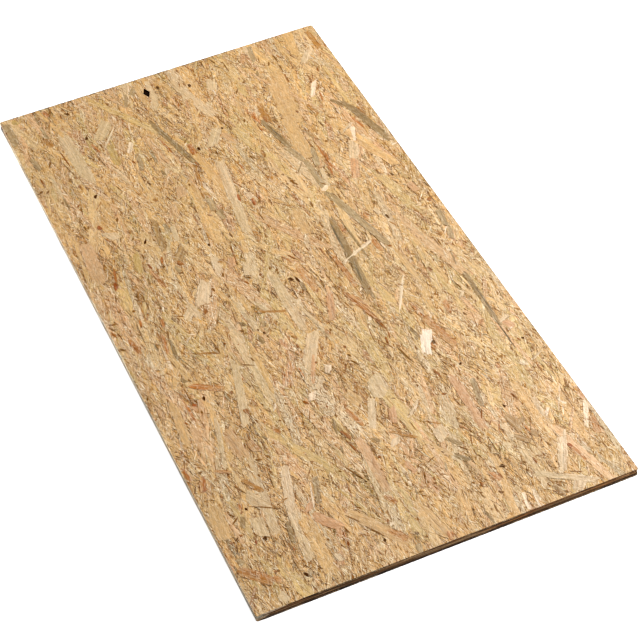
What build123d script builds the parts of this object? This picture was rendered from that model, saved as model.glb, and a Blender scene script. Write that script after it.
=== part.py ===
from build123d import *
import os

# One oriented strand board panel, lying flat on its back face. Millimetres, +X along the
# length, +Y across the width, +Z up. The origin is the middle of the back face.

# The sheet
PANEL_LENGTH = 800.0
PANEL_WIDTH = 400.0
PANEL_THICKNESS = 9.0

# The upright corners and the arrises, worn a little by the saw and by handling
CORNER_RADIUS = 2.0
ARRIS_RADIUS = 0.4

# The open void in the face near the far end, a lozenge where strands failed to close up
VOID_LENGTH = 19.0
VOID_WIDTH = 8.4
VOID_DEPTH = 2.0
VOID_ALONG_SHARE = 0.463
VOID_ACROSS_SHARE = 0.065

with BuildPart() as osb_panel:
    with BuildSketch(Plane.XY):
        RectangleRounded(PANEL_LENGTH, PANEL_WIDTH, CORNER_RADIUS)
    extrude(amount=PANEL_THICKNESS)
    fillet(osb_panel.faces().filter_by(Axis.Z).edges(), radius=ARRIS_RADIUS)

    with BuildSketch(Plane.XY.offset(PANEL_THICKNESS)):
        with Locations((PANEL_LENGTH * VOID_ALONG_SHARE, PANEL_WIDTH * VOID_ACROSS_SHARE)):
            Polygon(
                (-VOID_LENGTH / 2, 0),
                (0, -VOID_WIDTH / 2),
                (VOID_LENGTH / 2, 0),
                (0, VOID_WIDTH / 2),
            )
    extrude(amount=-VOID_DEPTH, mode=Mode.SUBTRACT)

osb_panel.part.label = "osb_panel"

os.makedirs("parts", exist_ok=True)
export_step(osb_panel.part, "parts/osb_panel.step")
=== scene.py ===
import math
from dataclasses import dataclass, field

import bmesh
import bpy
import numpy as np
from mathutils import Euler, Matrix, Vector


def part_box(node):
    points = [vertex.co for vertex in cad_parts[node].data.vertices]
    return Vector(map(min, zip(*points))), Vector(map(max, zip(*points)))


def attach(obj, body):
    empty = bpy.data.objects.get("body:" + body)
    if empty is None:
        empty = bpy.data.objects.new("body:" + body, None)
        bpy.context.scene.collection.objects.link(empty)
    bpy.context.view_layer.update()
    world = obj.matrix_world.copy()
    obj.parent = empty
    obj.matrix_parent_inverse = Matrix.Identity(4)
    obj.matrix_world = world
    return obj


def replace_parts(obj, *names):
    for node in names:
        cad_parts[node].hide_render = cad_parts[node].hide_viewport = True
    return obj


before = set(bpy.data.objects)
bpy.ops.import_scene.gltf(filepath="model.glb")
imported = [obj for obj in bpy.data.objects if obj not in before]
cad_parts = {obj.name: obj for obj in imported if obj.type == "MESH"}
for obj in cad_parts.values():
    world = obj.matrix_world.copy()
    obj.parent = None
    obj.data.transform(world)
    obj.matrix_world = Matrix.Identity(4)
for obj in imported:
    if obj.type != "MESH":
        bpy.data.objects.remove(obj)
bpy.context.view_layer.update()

# The panel lies on its back face, with +X along its length and its near end at -X.
# Sizes are in metres.
MM = 0.001
NODE = "osb_panel"
BODY = "root"
LOW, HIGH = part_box(NODE)
LENGTH = HIGH.x - LOW.x
WIDTH = HIGH.y - LOW.y
THICKNESS = HIGH.z - LOW.z
CORNER_RADIUS = 2.0 * MM

# The face strands stop this far inside the outline, where the sawn edges cover their cut ends.
EDGE_INSET = 0.15 * MM

# Nothing comes nearer than this to the sides of the panel's box.
BOX_MARGIN = 0.02 * MM

# The open void near the far end: its middle, from the far end and from the left side, and its size
VOID_FAR, VOID_LEFT = 29.6 * MM, 174 * MM
VOID_LENGTH, VOID_WIDTH = 19.0 * MM, 8.4 * MM
VOID_DEPTH = 2.0 * MM
VOID_MIDDLE = Vector((LENGTH / 2 - VOID_FAR, WIDTH / 2 - VOID_LEFT, 0))

# The photograph's camera
CAMERA_PLACE = (-1.5249, 0.5183, 1.5416)
CAMERA_AIM = (-0.0648, -0.0091, 0.0)
CAMERA_ROLL = math.radians(-5.09)
CAMERA_LENS = 116.94
CAMERA_SENSOR = 36.0

# Strand colours as they look in plain light, in sRGB steps of 255
COLOURS = {
    "tan": (212, 166, 97),
    "oak": (203, 159, 96),
    "honey": (207, 156, 80),
    "straw": (219, 179, 118),
    "pale": (230, 197, 144),
    "cream": (236, 208, 170),
    "thread": (253, 236, 200),
    "ivory": (245, 223, 195),
    "pink": (196, 142, 89),
    "olive": (188, 152, 77),
    "khaki": (205, 168, 99),
    "blush": (211, 164, 109),
    "bone": (213, 182, 137),
    "buff": (209, 177, 129),
    "rose": (201, 155, 103),
    "brown": (166, 110, 30),
    "orange": (172, 97, 10),
    "bark": (139, 77, 0),
    "grey": (164, 134, 86),
    "slate": (139, 109, 62),
    "soot": (100, 84, 58),
    "drab": (158, 118, 62),
    "russet": (178, 113, 40),
    "rust": (146, 70, 8),
    "umber": (123, 76, 4),
    "pit": (68, 31, 0),
    "cut": (110, 77, 45),
    "sawdust": (150, 116, 80),
    "scorched": (80, 48, 20),
    "weathered": (196, 176, 148),
    "bleached": (228, 214, 194),
}


def linear(colour):
    """An sRGB colour in steps of 255 as linear light."""
    value = np.asarray(colour, float) / 255
    return np.where(value <= 0.04045, value / 12.92, ((value + 0.055) / 1.055) ** 2.4)


# Strands

@dataclass
class Kind:
    """A kind of strand. Each strand is a grid of stations by lanes, whose lanes break off up to the share
    fray before its ends. count is their number on the upper face and back the share of it that the back
    face has. Sizes are ranges in mm, depth is how far its upper side lies under the face, and turn is how
    far its direction scatters from the panel's length in degrees. tones are colour names with their
    weights. taper is how far the ends run to a point and torn how rough the surface is, both ranges from
    0 to 1. clump is how far the strands keep to the rough ground, and shadow_gapped the share of them that
    has a dark gap along one side, partly a real gap and partly painted shadow."""

    name: str
    seed: int
    stations: int
    lanes: int
    fray: float
    tones: dict = field(default_factory=dict)
    count: int = 0
    back: float = 0.0
    length: tuple = ()
    width: tuple = ()
    depth: tuple = ()
    turn: float = 0.0
    taper: tuple = ()
    torn: tuple = ()
    unevenness: float = 0.06
    clump: float = 0.0
    shadow_gapped: float = 0.0


@dataclass
class Strands:
    """Arrays with one entry per strand, in metres and radians on the panel's face."""

    along: np.ndarray
    across: np.ndarray
    turn: np.ndarray
    length: np.ndarray
    width: np.ndarray
    depth: np.ndarray
    tint: np.ndarray
    taper: np.ndarray
    fade: np.ndarray


# Steps of a sequence that fills the unit square evenly
EVEN_STEP = (0.7548776662, 0.5698402910)


def spread(rng, count):
    """Places that cover the panel evenly, without rows, as shares from -0.5 to 0.5."""
    step = np.arange(count)[:, None] * EVEN_STEP
    jitter = rng.uniform(-0.5, 0.5, (count, 2)) / math.sqrt(count)
    return (step + rng.uniform(size=2) + jitter) % 1 - 0.5


# How far one strand may differ in lightness, what share of that is warmth, and the darkest colour
LIGHT_RANGE = (0.6, 1.4)
WARMTH_SHARE = 0.25
DARKEST = 0.002


def tinted(rng, count, tones, unevenness, torn):
    """Colours drawn from a palette, each a little lighter or darker, with torn as their alpha."""
    names = list(tones)
    weights = np.array([tones[name] for name in names], float)
    drawn = rng.choice(len(names), count, p=weights / weights.sum())
    base = linear([COLOURS[name] for name in names])[drawn]
    light = np.clip(rng.normal(1, unevenness, (count, 1)), *LIGHT_RANGE)
    warmth = rng.normal(0, unevenness * WARMTH_SHARE, (count, 1)) * (1, 0, -1)
    colour = np.clip(base * light * (1 + warmth), DARKEST, 1)
    return np.column_stack([colour, rng.uniform(*torn, count)])


# Rough patches: how many, and their least and greatest reach along and across, in mm
ROUGH_SEED = 9
ROUGH_SPOTS = 110
ROUGH_REACH = ((16, 6), (46, 16))

# How far clumps keep off smooth ground, and how likely a strand is to lie on one of the listed strands
CLUMPING = 0.8
ON_MARKED = 0.25

# Places drawn for each strand, the lean to narrow widths, and how far strands fade into common tan
CANDIDATES = 3
NARROW_LEAN = 1.6
THROWN_FADE = 0.25


def roughness(place):
    """How rough the ground is at each place, from 0 to 1, in patches drawn out along the panel."""
    rng = np.random.default_rng(ROUGH_SEED)
    spots = spread(rng, ROUGH_SPOTS) * (LENGTH, WIDTH)
    reach = rng.uniform(*ROUGH_REACH, (ROUGH_SPOTS, 2)) * MM
    away = (((place[:, None] - spots) / reach) ** 2).sum(-1)
    return np.exp(-away).max(1)


def covered(place, strands):
    """Which places lie on one of the strands."""
    gap = place[:, None] - np.stack([strands.along, strands.across], 1)
    u = gap[..., 0] * np.cos(strands.turn) + gap[..., 1] * np.sin(strands.turn)
    v = gap[..., 1] * np.cos(strands.turn) - gap[..., 0] * np.sin(strands.turn)
    return ((np.abs(u) < strands.length / 2) & (np.abs(v) < strands.width / 2)).any(1)


def scattered(rng, kind, count, kept_clear):
    """A kind's strands, thrown over the whole face and a little beyond its sides."""
    margin = kind.length[0] * MM
    drawn = count * CANDIDATES
    place = spread(rng, drawn) * (LENGTH + margin, WIDTH + margin)
    chance = 1 - kind.clump * (CLUMPING - CLUMPING * roughness(place))
    chance = chance * np.where(covered(place, kept_clear), ON_MARKED, 1)
    place = place[rng.choice(drawn, count, replace=False, p=chance / chance.sum())]
    narrow, broad = kind.width
    return Strands(
        along=place[:, 0],
        across=place[:, 1],
        turn=np.radians(rng.normal(0, kind.turn, count)),
        length=rng.uniform(*kind.length, count) * MM,
        width=(narrow + (broad - narrow) * rng.uniform(size=count) ** NARROW_LEAN) * MM,
        depth=rng.uniform(*kind.depth, count) * MM,
        tint=tinted(rng, count, kind.tones, kind.unevenness, kind.torn),
        taper=rng.uniform(*kind.taper, (count, 2)),
        fade=np.full(count, THROWN_FADE),
    )


# Meshes

STRAND_THICKNESS = 0.45 * MM

# Ends slant across a strand by this share, within these shares of its half length.
END_SLANT = 0.5
END_REACH = (0.3, 1.25)

# Sides wander by a share of the half width, and strands bow by a share of the half length.
SIDE_WANDER = 0.06
BOW = 0.01
BOW_REST = 0.4

# How deep the sides, the ends and the corners are pressed in, in mm
SIDE_SINK = (0.02, 0.14)
END_SINK = (0, 0.22)
TWIST_SINK = 0.05

# The greatest of the numbers that set one strand's pattern apart from the next
OWN_NUMBERS = 50


def strand_sheets(strands, kind, upper):
    """The inner sides of the strands as open sheets, one grid of stations by lanes each. Returns
    points, faces, the place on the strand (along and across its grain, in metres, and a number of
    its own), the place on its outline (from -1 to 1, and its width) and its colour."""
    rng = np.random.default_rng(kind.seed)
    stations, lanes = kind.stations, kind.lanes
    count = len(strands.along)
    one_each = (count, 1, 1)
    t = np.linspace(-1, 1, stations)[None, :, None]
    s = np.linspace(-1, 1, lanes)[None, None, :]
    half_length = strands.length[:, None, None] / 2
    half_width = strands.width[:, None, None] / 2

    # Each lane ends where its own fibres broke, on a slant across the strand.
    cut = rng.uniform(0, kind.fray, (count, 2, lanes))
    slant = rng.normal(0, END_SLANT, (count, 2, 1)) * s * (half_width / half_length)
    reach = np.clip(1 - cut + slant, *END_REACH)
    u = half_length * np.where(t < 0, t * reach[:, :1], t * reach[:, 1:])

    # The sides wander a little, and the ends run in.
    taper = np.where(t < 0, strands.taper[:, :1, None], strands.taper[:, 1:, None])
    wander = rng.normal(0, SIDE_WANDER, (count, stations, 2))
    sides = wander[:, :, :1] * (1 - s) / 2 + wander[:, :, 1:] * (1 + s) / 2
    bow = rng.normal(0, BOW, one_each) * half_length * (t * t - BOW_REST)
    v = half_width * (s * (1 - taper * np.abs(t) ** 3) + sides) + bow

    # The sides and ends are pressed into what lies below.
    sink = rng.uniform(*SIDE_SINK, one_each) * s * s
    sink = sink + rng.uniform(*END_SINK, one_each) * t ** 4
    sink = sink + rng.normal(0, TWIST_SINK, one_each) * t * s
    inner = strands.depth[:, None, None] + np.abs(sink) * MM + STRAND_THICKNESS
    z = THICKNESS - inner if upper else inner

    turn = strands.turn[:, None, None]
    x = strands.along[:, None, None] + u * np.cos(turn) - v * np.sin(turn)
    y = strands.across[:, None, None] + u * np.sin(turn) + v * np.cos(turn)
    own = rng.uniform(0, OWN_NUMBERS, one_each)
    return (
        stacked(x, y, z),
        grid_faces(count, stations, lanes, not upper),
        stacked(u, v, own + 0 * u),
        stacked(t + 0 * u, s + 0 * u, 2 * half_width + 0 * u),
        faded_tints(rng, strands, t, lanes),
    )


def faded_tints(rng, strands, t, lanes):
    """The colours of the sheets' points, with torn as their alpha. Single lanes and the ends go over
    into the tan that most strands have."""
    count, stations = len(strands.along), t.size
    lane_fade = rng.uniform(0, 1, (count, 1, lanes)) ** 2
    end_fade = rng.uniform(0, 1, (count, stations, lanes)) * t ** 4
    fade = np.clip((lane_fade + end_fade) * strands.fade[:, None, None], 0, 1)[..., None]
    tints = strands.tint[:, None, None, :3] * (1 - fade) + linear(COLOURS["tan"]) * fade
    torn = np.broadcast_to(strands.tint[:, None, None, 3:], tints.shape[:3] + (1,))
    return np.concatenate([tints, torn], -1).reshape(-1, 4)


def stacked(x, y, z):
    return np.stack([x, y, z], -1).reshape(-1, 3)


def grid_faces(count, stations, lanes, flip):
    """Quads of count grids that follow each other in one array of points."""
    i, j = np.meshgrid(np.arange(stations - 1), np.arange(lanes - 1), indexing="ij")
    corner = (i * lanes + j).ravel()
    quads = np.stack([corner, corner + 1, corner + lanes + 1, corner + lanes], 1)
    if flip:
        quads = quads[:, ::-1]
    first = np.arange(count)[:, None, None] * (stations * lanes)
    return (quads[None] + first).reshape(-1, 4)


# Room for each strand on the map, as a share of its size and beside it, and the map's slack
MAP_ROOM = 1.3
MAP_GAP = 1.2 * MM
MAP_SLACK = 1.06


def packed_map(length, width, grain):
    """A place of its own on the unit square for each strand, laid in rows as long as the square."""
    length = length * MAP_ROOM + MAP_GAP
    width = width * MAP_ROOM + MAP_GAP
    side = math.sqrt((length * width).sum()) * MAP_SLACK
    corner = np.zeros((len(length), 2))
    at, row, height = 0.0, 0.0, 0.0
    for k in np.argsort(-width):
        if at + length[k] > side:
            at, row, height = 0.0, row + height, 0.0
        corner[k] = at, row
        at += length[k]
        height = max(height, width[k])
    middle = corner + np.stack([length, width], 1) / 2
    places = np.repeat(middle, len(grain) // len(length), 0) + grain[:, :2]
    return places / max(side, row + height)


SHARP_ANGLE = math.radians(35)


def sheet_mesh(name, points, faces, layers, atlas):
    """A mesh of open sheets with its layers as attributes and its map for baking."""
    mesh = bpy.data.meshes.new(name)
    mesh.from_pydata(points.tolist(), [], faces.tolist())
    for layer, values in layers.items():
        coloured = values.shape[1] == 4
        attribute = mesh.attributes.new(layer, "FLOAT_COLOR" if coloured else "FLOAT_VECTOR", "POINT")
        values = np.ascontiguousarray(values, np.float32).ravel()
        attribute.data.foreach_set("color" if coloured else "vector", values)
    corners = np.empty(len(mesh.loops), np.int32)
    mesh.loops.foreach_get("vertex_index", corners)
    bake_map = mesh.uv_layers.new(name="OFBake")
    bake_map.data.foreach_set("uv", atlas[corners].astype(np.float32).ravel())
    return mesh


def thickened(piece, thickness):
    """The piece's sheets as a new mesh with a thickness away from their front."""
    thicken = piece.modifiers.new("thickness", "SOLIDIFY")
    thicken.thickness = thickness
    thicken.offset = -1
    thicken.use_even_offset = False
    graph = bpy.context.evaluated_depsgraph_get()
    solid = bpy.data.meshes.new_from_object(piece.evaluated_get(graph))
    piece.modifiers.clear()
    return solid


def kept_in_box(mesh):
    """Moves points of the mesh that lie beyond the panel's box back into it."""
    places = np.empty(len(mesh.vertices) * 3, np.float32)
    mesh.vertices.foreach_get("co", places)
    low, high = np.array(LOW) + BOX_MARGIN, np.array(HIGH) - BOX_MARGIN
    places = np.clip(places.reshape(-1, 3), low, high)
    mesh.vertices.foreach_set("co", places.astype(np.float32).ravel())


def added(name, data):
    """A new object of the scene."""
    thing = bpy.data.objects.new(name, data)
    bpy.context.scene.collection.objects.link(thing)
    return thing


def placed(name, mesh, material):
    """A piece of the panel that shows the mesh in the material."""
    piece = added(name, mesh)
    mesh.materials.append(material)
    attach(piece, BODY)
    return piece


def mesh_piece(name, points, faces, thickness, material, layers, atlas, cuts=()):
    """A piece from open sheets, cut back by the cuts and thickened away from their front."""
    mesh = sheet_mesh(name, points, faces, layers, atlas)
    body = bmesh.new()
    body.from_mesh(mesh)
    for cut in cuts:
        cut(body)
    body.to_mesh(mesh)
    body.free()
    piece = placed(name, mesh, material)
    solid = thickened(piece, thickness)
    piece.data = solid
    bpy.data.meshes.remove(mesh)
    kept_in_box(solid)
    solid.name = name
    solid.shade_smooth()
    solid.set_sharp_from_angle(angle=SHARP_ANGLE)


# The corners of the outline are cut in straight steps of this angle, in degrees.
CORNER_STEP = 22.5


def saw(body):
    """Cuts the sheets off along the panel's outline, with its corners as short straight cuts."""
    straight = Vector((LENGTH / 2 - CORNER_RADIUS, WIDTH / 2 - CORNER_RADIUS, 0))
    for degrees in np.arange(0, 360, CORNER_STEP):
        normal = Vector((math.cos(math.radians(degrees)), math.sin(math.radians(degrees)), 0))
        corner = Vector((math.copysign(straight.x, normal.x), math.copysign(straight.y, normal.y), 0))
        bmesh.ops.bisect_plane(
            body,
            geom=body.verts[:] + body.edges[:] + body.faces[:],
            plane_co=corner + normal * (CORNER_RADIUS - EDGE_INSET),
            plane_no=normal,
            clear_outer=True,
        )


# Faces whose middle is nearer than this to the void's are cut along its sides.
VOID_NEAR = VOID_LENGTH * 8


def open_void(body):
    """Cuts the lozenge of the open void out of the sheets."""
    normals = [
        Vector((a * VOID_WIDTH, b * VOID_LENGTH, 0)).normalized() for a in (-1, 1) for b in (-1, 1)
    ]
    reach = abs(normals[0].x) * VOID_LENGTH / 2
    for normal in normals:
        faces = [f for f in body.faces if (f.calc_center_median() - VOID_MIDDLE).xy.length < VOID_NEAR]
        edges = {e for f in faces for e in f.edges}
        verts = {v for f in faces for v in f.verts}
        bmesh.ops.bisect_plane(
            body,
            geom=list(verts) + list(edges) + faces,
            plane_co=VOID_MIDDLE + normal * reach,
            plane_no=normal,
        )
    inside = [
        f for f in body.faces
        if all((f.calc_center_median() - VOID_MIDDLE).dot(n) < reach for n in normals)
    ]
    bmesh.ops.delete(body, geom=inside, context="FACES")


def strand_piece(side, strands, kind, material, upper=True):
    """A joined mesh of strands of one kind on one face."""
    points, faces, grain, outline, tint = strand_sheets(strands, kind, upper)
    layers = {"grain": grain, "outline": outline, "tint": tint}
    atlas = packed_map(strands.length, strands.width, grain)
    cuts = (saw, open_void) if upper else (saw,)
    mesh_piece(side + kind.name, points, faces, STRAND_THICKNESS, material, layers, atlas, cuts)


# Sawn edges

# The cut strands lie in rows, and the outer rows above and below belong to the face layers.
EDGE_SEED = 71
EDGE_ROWS = 13
FACE_ROWS = 3
EDGE_BLOCK = 0.25 * MM
EDGE_STATIONS = 6
EDGE_START = 5 * MM
EDGE_LAP = 0.93

# An edge belongs to an end of the panel where the cosine of its facing is above this.
END_FACING = 0.7

# Length in mm and height in rows of strands that the saw crossed (True) and of those along the cut
CUT_LENGTH = {True: (5, 24), False: (25, 80)}
CUT_HEIGHT = {True: (1.15, 1.6), False: (1.05, 1.4)}

# Colours of the cut strands on the panel's ends (True) and long sides (False), for strands that the
# saw crossed (True) and for those that lie along the cut (False)
EDGE_TONES = {
    # On the ends the colours are dark partly from their cut grain and partly as painted shade.
    (True, True): {"scorched": 3, "cut": 2.5, "umber": 0.5},
    (True, False): {"cut": 3, "sawdust": 2, "scorched": 1.5},
    # The pale colours of the long sides are partly their own and partly painted light.
    (False, True): {"weathered": 3, "bleached": 3},
    (False, False): {"bleached": 5, "weathered": 1.5},
}
EDGE_UNEVENNESS = 0.4

# The ends are dark below and light in the middle, and lighter to the right as painted light from the lamps
# on that side.
END_HEIGHTS = (0.3, 0.45, 0.7, 0.85)
END_SHADES = (0.36, 1.4, 1.5, 0.95)
END_PAINTED_LIGHT_RIGHT_TO_LEFT = (1.35, 0.7)

# The long sides are lighter to the far end, which is painted light, and the right one is darker and
# browner than the left.
SIDE_PAINTED_LIGHT_NEAR_TO_FAR = (0.95, 1.3)
RIGHT_SIDE = (0.56, 0.45, 0.33)

# How far the cut strands stand back from the outline, in mm: least, most in the outer rows, and most
LEAST_BACK, OUTER_BACK, MOST_BACK = 0.02, 0.06, 0.24

# How the cut strands waver, run in and bend back at their ends, and stand clear of the faces
EDGE_WAVER = 0.12 * MM
EDGE_TAPER = 0.8
EDGE_END_BACK = 0.05 * MM
EDGE_CLEAR = 0.04 * MM

# Points on each rounded corner of the outline
CORNER_POINTS = 7


def rim_path():
    """The panel's outline seen from above, with rounded corners: the distance along it, its points
    and the direction in which it faces."""
    x, y, facing = [], [], []
    arc = np.radians(np.linspace(0, 90, CORNER_POINTS))
    for quarter, (a, b) in enumerate(((1, -1), (1, 1), (-1, 1), (-1, -1))):
        angle = arc + math.radians(90) * (quarter - 1)
        x.append(a * (LENGTH / 2 - CORNER_RADIUS) + CORNER_RADIUS * np.cos(angle))
        y.append(b * (WIDTH / 2 - CORNER_RADIUS) + CORNER_RADIUS * np.sin(angle))
        facing.append(angle)
    x, y, facing = (np.concatenate(v) for v in (x, y, facing))
    x = np.append(x, x[0])
    y = np.append(y, y[0])
    facing = np.append(facing, facing[0] + 2 * math.pi)
    along = np.append(0, np.cumsum(np.hypot(np.diff(x), np.diff(y))))
    return along, x, y, facing


def edge_blocks(rng, path):
    """The cut strands of the sawn edges, row by row: place along the outline, height, length,
    thickness, colour and inset. Strands that run along an edge show long, the others short."""
    along, _, _, facing = path
    row_height = THICKNESS / EDGE_ROWS
    blocks = []
    for row in range(EDGE_ROWS):
        face_layer = not FACE_ROWS <= row < EDGE_ROWS - FACE_ROWS
        at = rng.uniform(0, EDGE_START)
        while at < along[-1]:
            panel_end = abs(math.cos(np.interp(at, along, facing))) > END_FACING
            crossed = face_layer == panel_end
            length = rng.uniform(*CUT_LENGTH[crossed]) * MM
            height = row_height * rng.uniform(*CUT_HEIGHT[crossed])
            middle = (row + 0.5) * row_height
            blocks.append((at + length / 2, middle, length, height, crossed, panel_end))
            at += length * EDGE_LAP
    place, middle, length, height, end_grain, panel_end = np.array(blocks).T
    tint = np.empty((len(blocks), 4))
    for (at_end, crossed), tones in EDGE_TONES.items():
        chosen = (panel_end == at_end) & (end_grain == crossed)
        count = np.count_nonzero(chosen)
        tint[chosen] = tinted(rng, count, tones, EDGE_UNEVENNESS, (crossed, crossed))
    tint[:, :3] *= edge_shades(place, middle, panel_end, path)
    outer_row = np.abs(middle - THICKNESS / 2) > THICKNESS / 2 - row_height
    inset = rng.uniform(LEAST_BACK, np.where(outer_row, OUTER_BACK, MOST_BACK)) * MM
    return place, middle, length, height, tint, inset


def edge_shades(place, middle, panel_end, path):
    """What each cut strand's colour is multiplied by, from its place on the sawn edges, partly as painted
    light and shade.
    """
    along, rim_x, rim_y, _ = path
    x = np.interp(place, along, rim_x)
    y = np.interp(place, along, rim_y)
    end_shade = np.interp(middle / THICKNESS, END_HEIGHTS, END_SHADES)
    end_shade = end_shade * np.interp(y, (-WIDTH / 2, WIDTH / 2), END_PAINTED_LIGHT_RIGHT_TO_LEFT)
    side_shade = np.interp(x, (-LENGTH / 2, LENGTH / 2), SIDE_PAINTED_LIGHT_NEAR_TO_FAR)
    at_end = panel_end[:, None] == 1
    shade = np.where(at_end, end_shade[:, None], side_shade[:, None])
    return shade * np.where(~at_end & (y[:, None] < 0), RIGHT_SIDE, 1)


def sawn_edges(material):
    """The four sawn edges as one joined mesh of cut strands."""
    rng = np.random.default_rng(EDGE_SEED)
    path = rim_path()
    place, middle, length, height, tint, inset = edge_blocks(rng, path)
    count = len(place)
    t = np.linspace(-1, 1, EDGE_STATIONS)[None, :, None]
    s = np.linspace(-1, 1, 2)[None, None, :]
    u = t * length[:, None, None] / 2 + 0 * s
    wave = rng.normal(0, EDGE_WAVER, (count, EDGE_STATIONS, 1))
    v = s * height[:, None, None] / 2 * (1 - EDGE_TAPER * np.abs(t) ** 3) + wave
    z = np.clip(middle[:, None, None] + v, EDGE_CLEAR, THICKNESS - EDGE_CLEAR)
    along, rim_x, rim_y, facing = path
    where = (place[:, None, None] + u) % along[-1]
    turn = np.interp(where, along, facing)
    back = inset[:, None, None] + EDGE_BLOCK + EDGE_END_BACK * t ** 4
    x = np.interp(where, along, rim_x) - back * np.cos(turn)
    y = np.interp(where, along, rim_y) - back * np.sin(turn)
    own = rng.uniform(0, OWN_NUMBERS, (count, 1, 1))
    grain = stacked(u, v, own + 0 * u)
    layers = {
        "grain": grain,
        "outline": stacked(t + 0 * u, s + 0 * u, height[:, None, None] + 0 * u),
        "tint": np.repeat(tint, EDGE_STATIONS * 2, 0),
    }
    faces = grid_faces(count, EDGE_STATIONS, 2, False)
    atlas = packed_map(length, height, grain)
    mesh_piece("sawn_edges", stacked(x, y, z), faces, EDGE_BLOCK, material, layers, atlas)


# Materials

class Shader:
    """A material and short ways to add nodes to it. A number or colour given as an input is set on
    the socket, and a socket is linked."""

    def __init__(self, name):
        self.material = bpy.data.materials.new(name)
        self.material.use_nodes = True
        self.tree = self.material.node_tree
        self.surface = self.tree.nodes["Principled BSDF"]

    def node(self, kind, inputs=(), **settings):
        node = self.tree.nodes.new(kind)
        for key, value in settings.items():
            setattr(node, key, value)
        for key, value in dict(inputs).items():
            self.feed(node.inputs[key], value)
        return node

    def feed(self, socket, value):
        if isinstance(value, bpy.types.NodeSocket):
            self.tree.links.new(value, socket)
        else:
            socket.default_value = value

    def show(self, **values):
        """Feeds inputs of the surface, with _ for the spaces in their names."""
        for name, value in values.items():
            self.feed(self.surface.inputs[name.replace("_", " ")], value)

    def attribute(self, name, output):
        return self.node("ShaderNodeAttribute", attribute_name=name).outputs[output]

    def place(self):
        return self.node("ShaderNodeTexCoord").outputs["Object"]

    def math(self, operation, *values):
        node = self.node("ShaderNodeMath", operation=operation)
        for socket, value in zip(node.inputs, values):
            self.feed(socket, value)
        return node.outputs[0]

    def times(self, a, b):
        return self.math("MULTIPLY", a, b)

    def stretch(self, vector, scale):
        node = self.node("ShaderNodeVectorMath", operation="MULTIPLY")
        self.feed(node.inputs[0], vector)
        self.feed(node.inputs[1], scale)
        return node.outputs[0]

    def noise(self, vector, scale, detail, roughness=0.5):
        """Noise along a vector, which is stretched first where a scale is given."""
        vector = self.stretch(vector, scale) if scale else vector
        inputs = {"Vector": vector, "Scale": 1.0, "Detail": detail, "Roughness": roughness}
        return self.node("ShaderNodeTexNoise", inputs).outputs["Fac"]

    def range(self, value, low, high, to_low=0.0, to_high=1.0):
        inputs = {"Value": value, "From Min": low, "From Max": high, "To Min": to_low, "To Max": to_high}
        return self.node("ShaderNodeMapRange", inputs).outputs[0]

    def turned(self, vector, degrees):
        node = self.node("ShaderNodeVectorRotate", {"Vector": vector}, rotation_type="Z_AXIS")
        node.inputs["Angle"].default_value = math.radians(degrees)
        return node.outputs[0]

    def line(self, value, middle, reach, core=0.3):
        """1 where a value is within the core of its reach from the middle, and 0 beyond the reach."""
        away = self.math("ABSOLUTE", self.math("SUBTRACT", value, middle))
        return self.range(away, reach, reach * core)

    def largest(self, values):
        best = values[0]
        for value in values[1:]:
            best = self.math("MAXIMUM", best, value)
        return best

    def mix(self, factor, a, b, blend="MIX"):
        node = self.node("ShaderNodeMix", data_type="RGBA", blend_type=blend)
        self.feed(node.inputs["Factor"], factor)
        self.feed(node.inputs[6], a)
        self.feed(node.inputs[7], b)
        return node.outputs[2]

    def shaded(self, base, by):
        return self.mix(1.0, base, by, "MULTIPLY")

    def bump(self, height, strength, distance):
        inputs = {"Height": height, "Strength": strength, "Distance": distance}
        return self.node("ShaderNodeBump", inputs).outputs[0]


def colour(name):
    return (*linear(COLOURS[name]), 1.0)


# Noise scales in waves per metre along and across the grain, and how far one strand's noise is from
# the next one's
RAGGED_SIDES = (60, 200, 3)
FIBRE = (45, 560, 1)
GROWTH_BANDS = (6, 230, 1)
MOTTLE = (170, 420, 2)
FINE_TEARS = (200, 860, 1)
COARSE_TEARS = (60, 350, 1.7)
GRAIN_COURSE = (30, 420, 2.3)

# Noise scales in waves per metre along and across the panel
BROAD_PATCHES = (9, 16, 1)
PRESSED_TEARS = (140, 600, 1)
RESIN_STAINS = (60, 110, 1)

# Hairlines that cross the strands: their angle to the panel's length and their noise scale
CROSS_COURSES = ((18, (34, 400, 1)), (-15, (32, 380, 1)), (-38, (38, 400, 1)))

# A hairline is broken up by noise of its own course at these multiples of its scale.
COURSE_BREAKS = (3.4, 0.75, 2)

# Where in the noise the splits and the threads beside them lie, and how wide they are. The dark splits and
# pale threads are partly real and partly painted shade and painted highlight.
SPLIT_AT, THREAD_AT, HAIRLINE = 0.48, 0.535, 0.034

# What the colour of the wood is multiplied by
DULL_PATCH, BRIGHT_PATCH = (0.935, 0.945, 0.89, 1), (1.075, 1.065, 1.12, 1)
LATEWOOD = (0.84, 0.66, 0.43, 1)
# Painted shade in the torn hollows, warmer where resin stains them, and a painted highlight on raised
# fibre
HOLLOW_SHADE, RESIN_HOLLOW_SHADE = (0.56, 0.38, 0.14, 1), (0.76, 0.38, 0.09, 1)
RAISED_FIBRE_HIGHLIGHT = (1.3, 1.37, 1.6, 1)
# Painted shade in the hairline splits, which are partly real splits
SPLIT_AND_SHADE = (0.3, 0.14, 0.03, 1)


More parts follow.
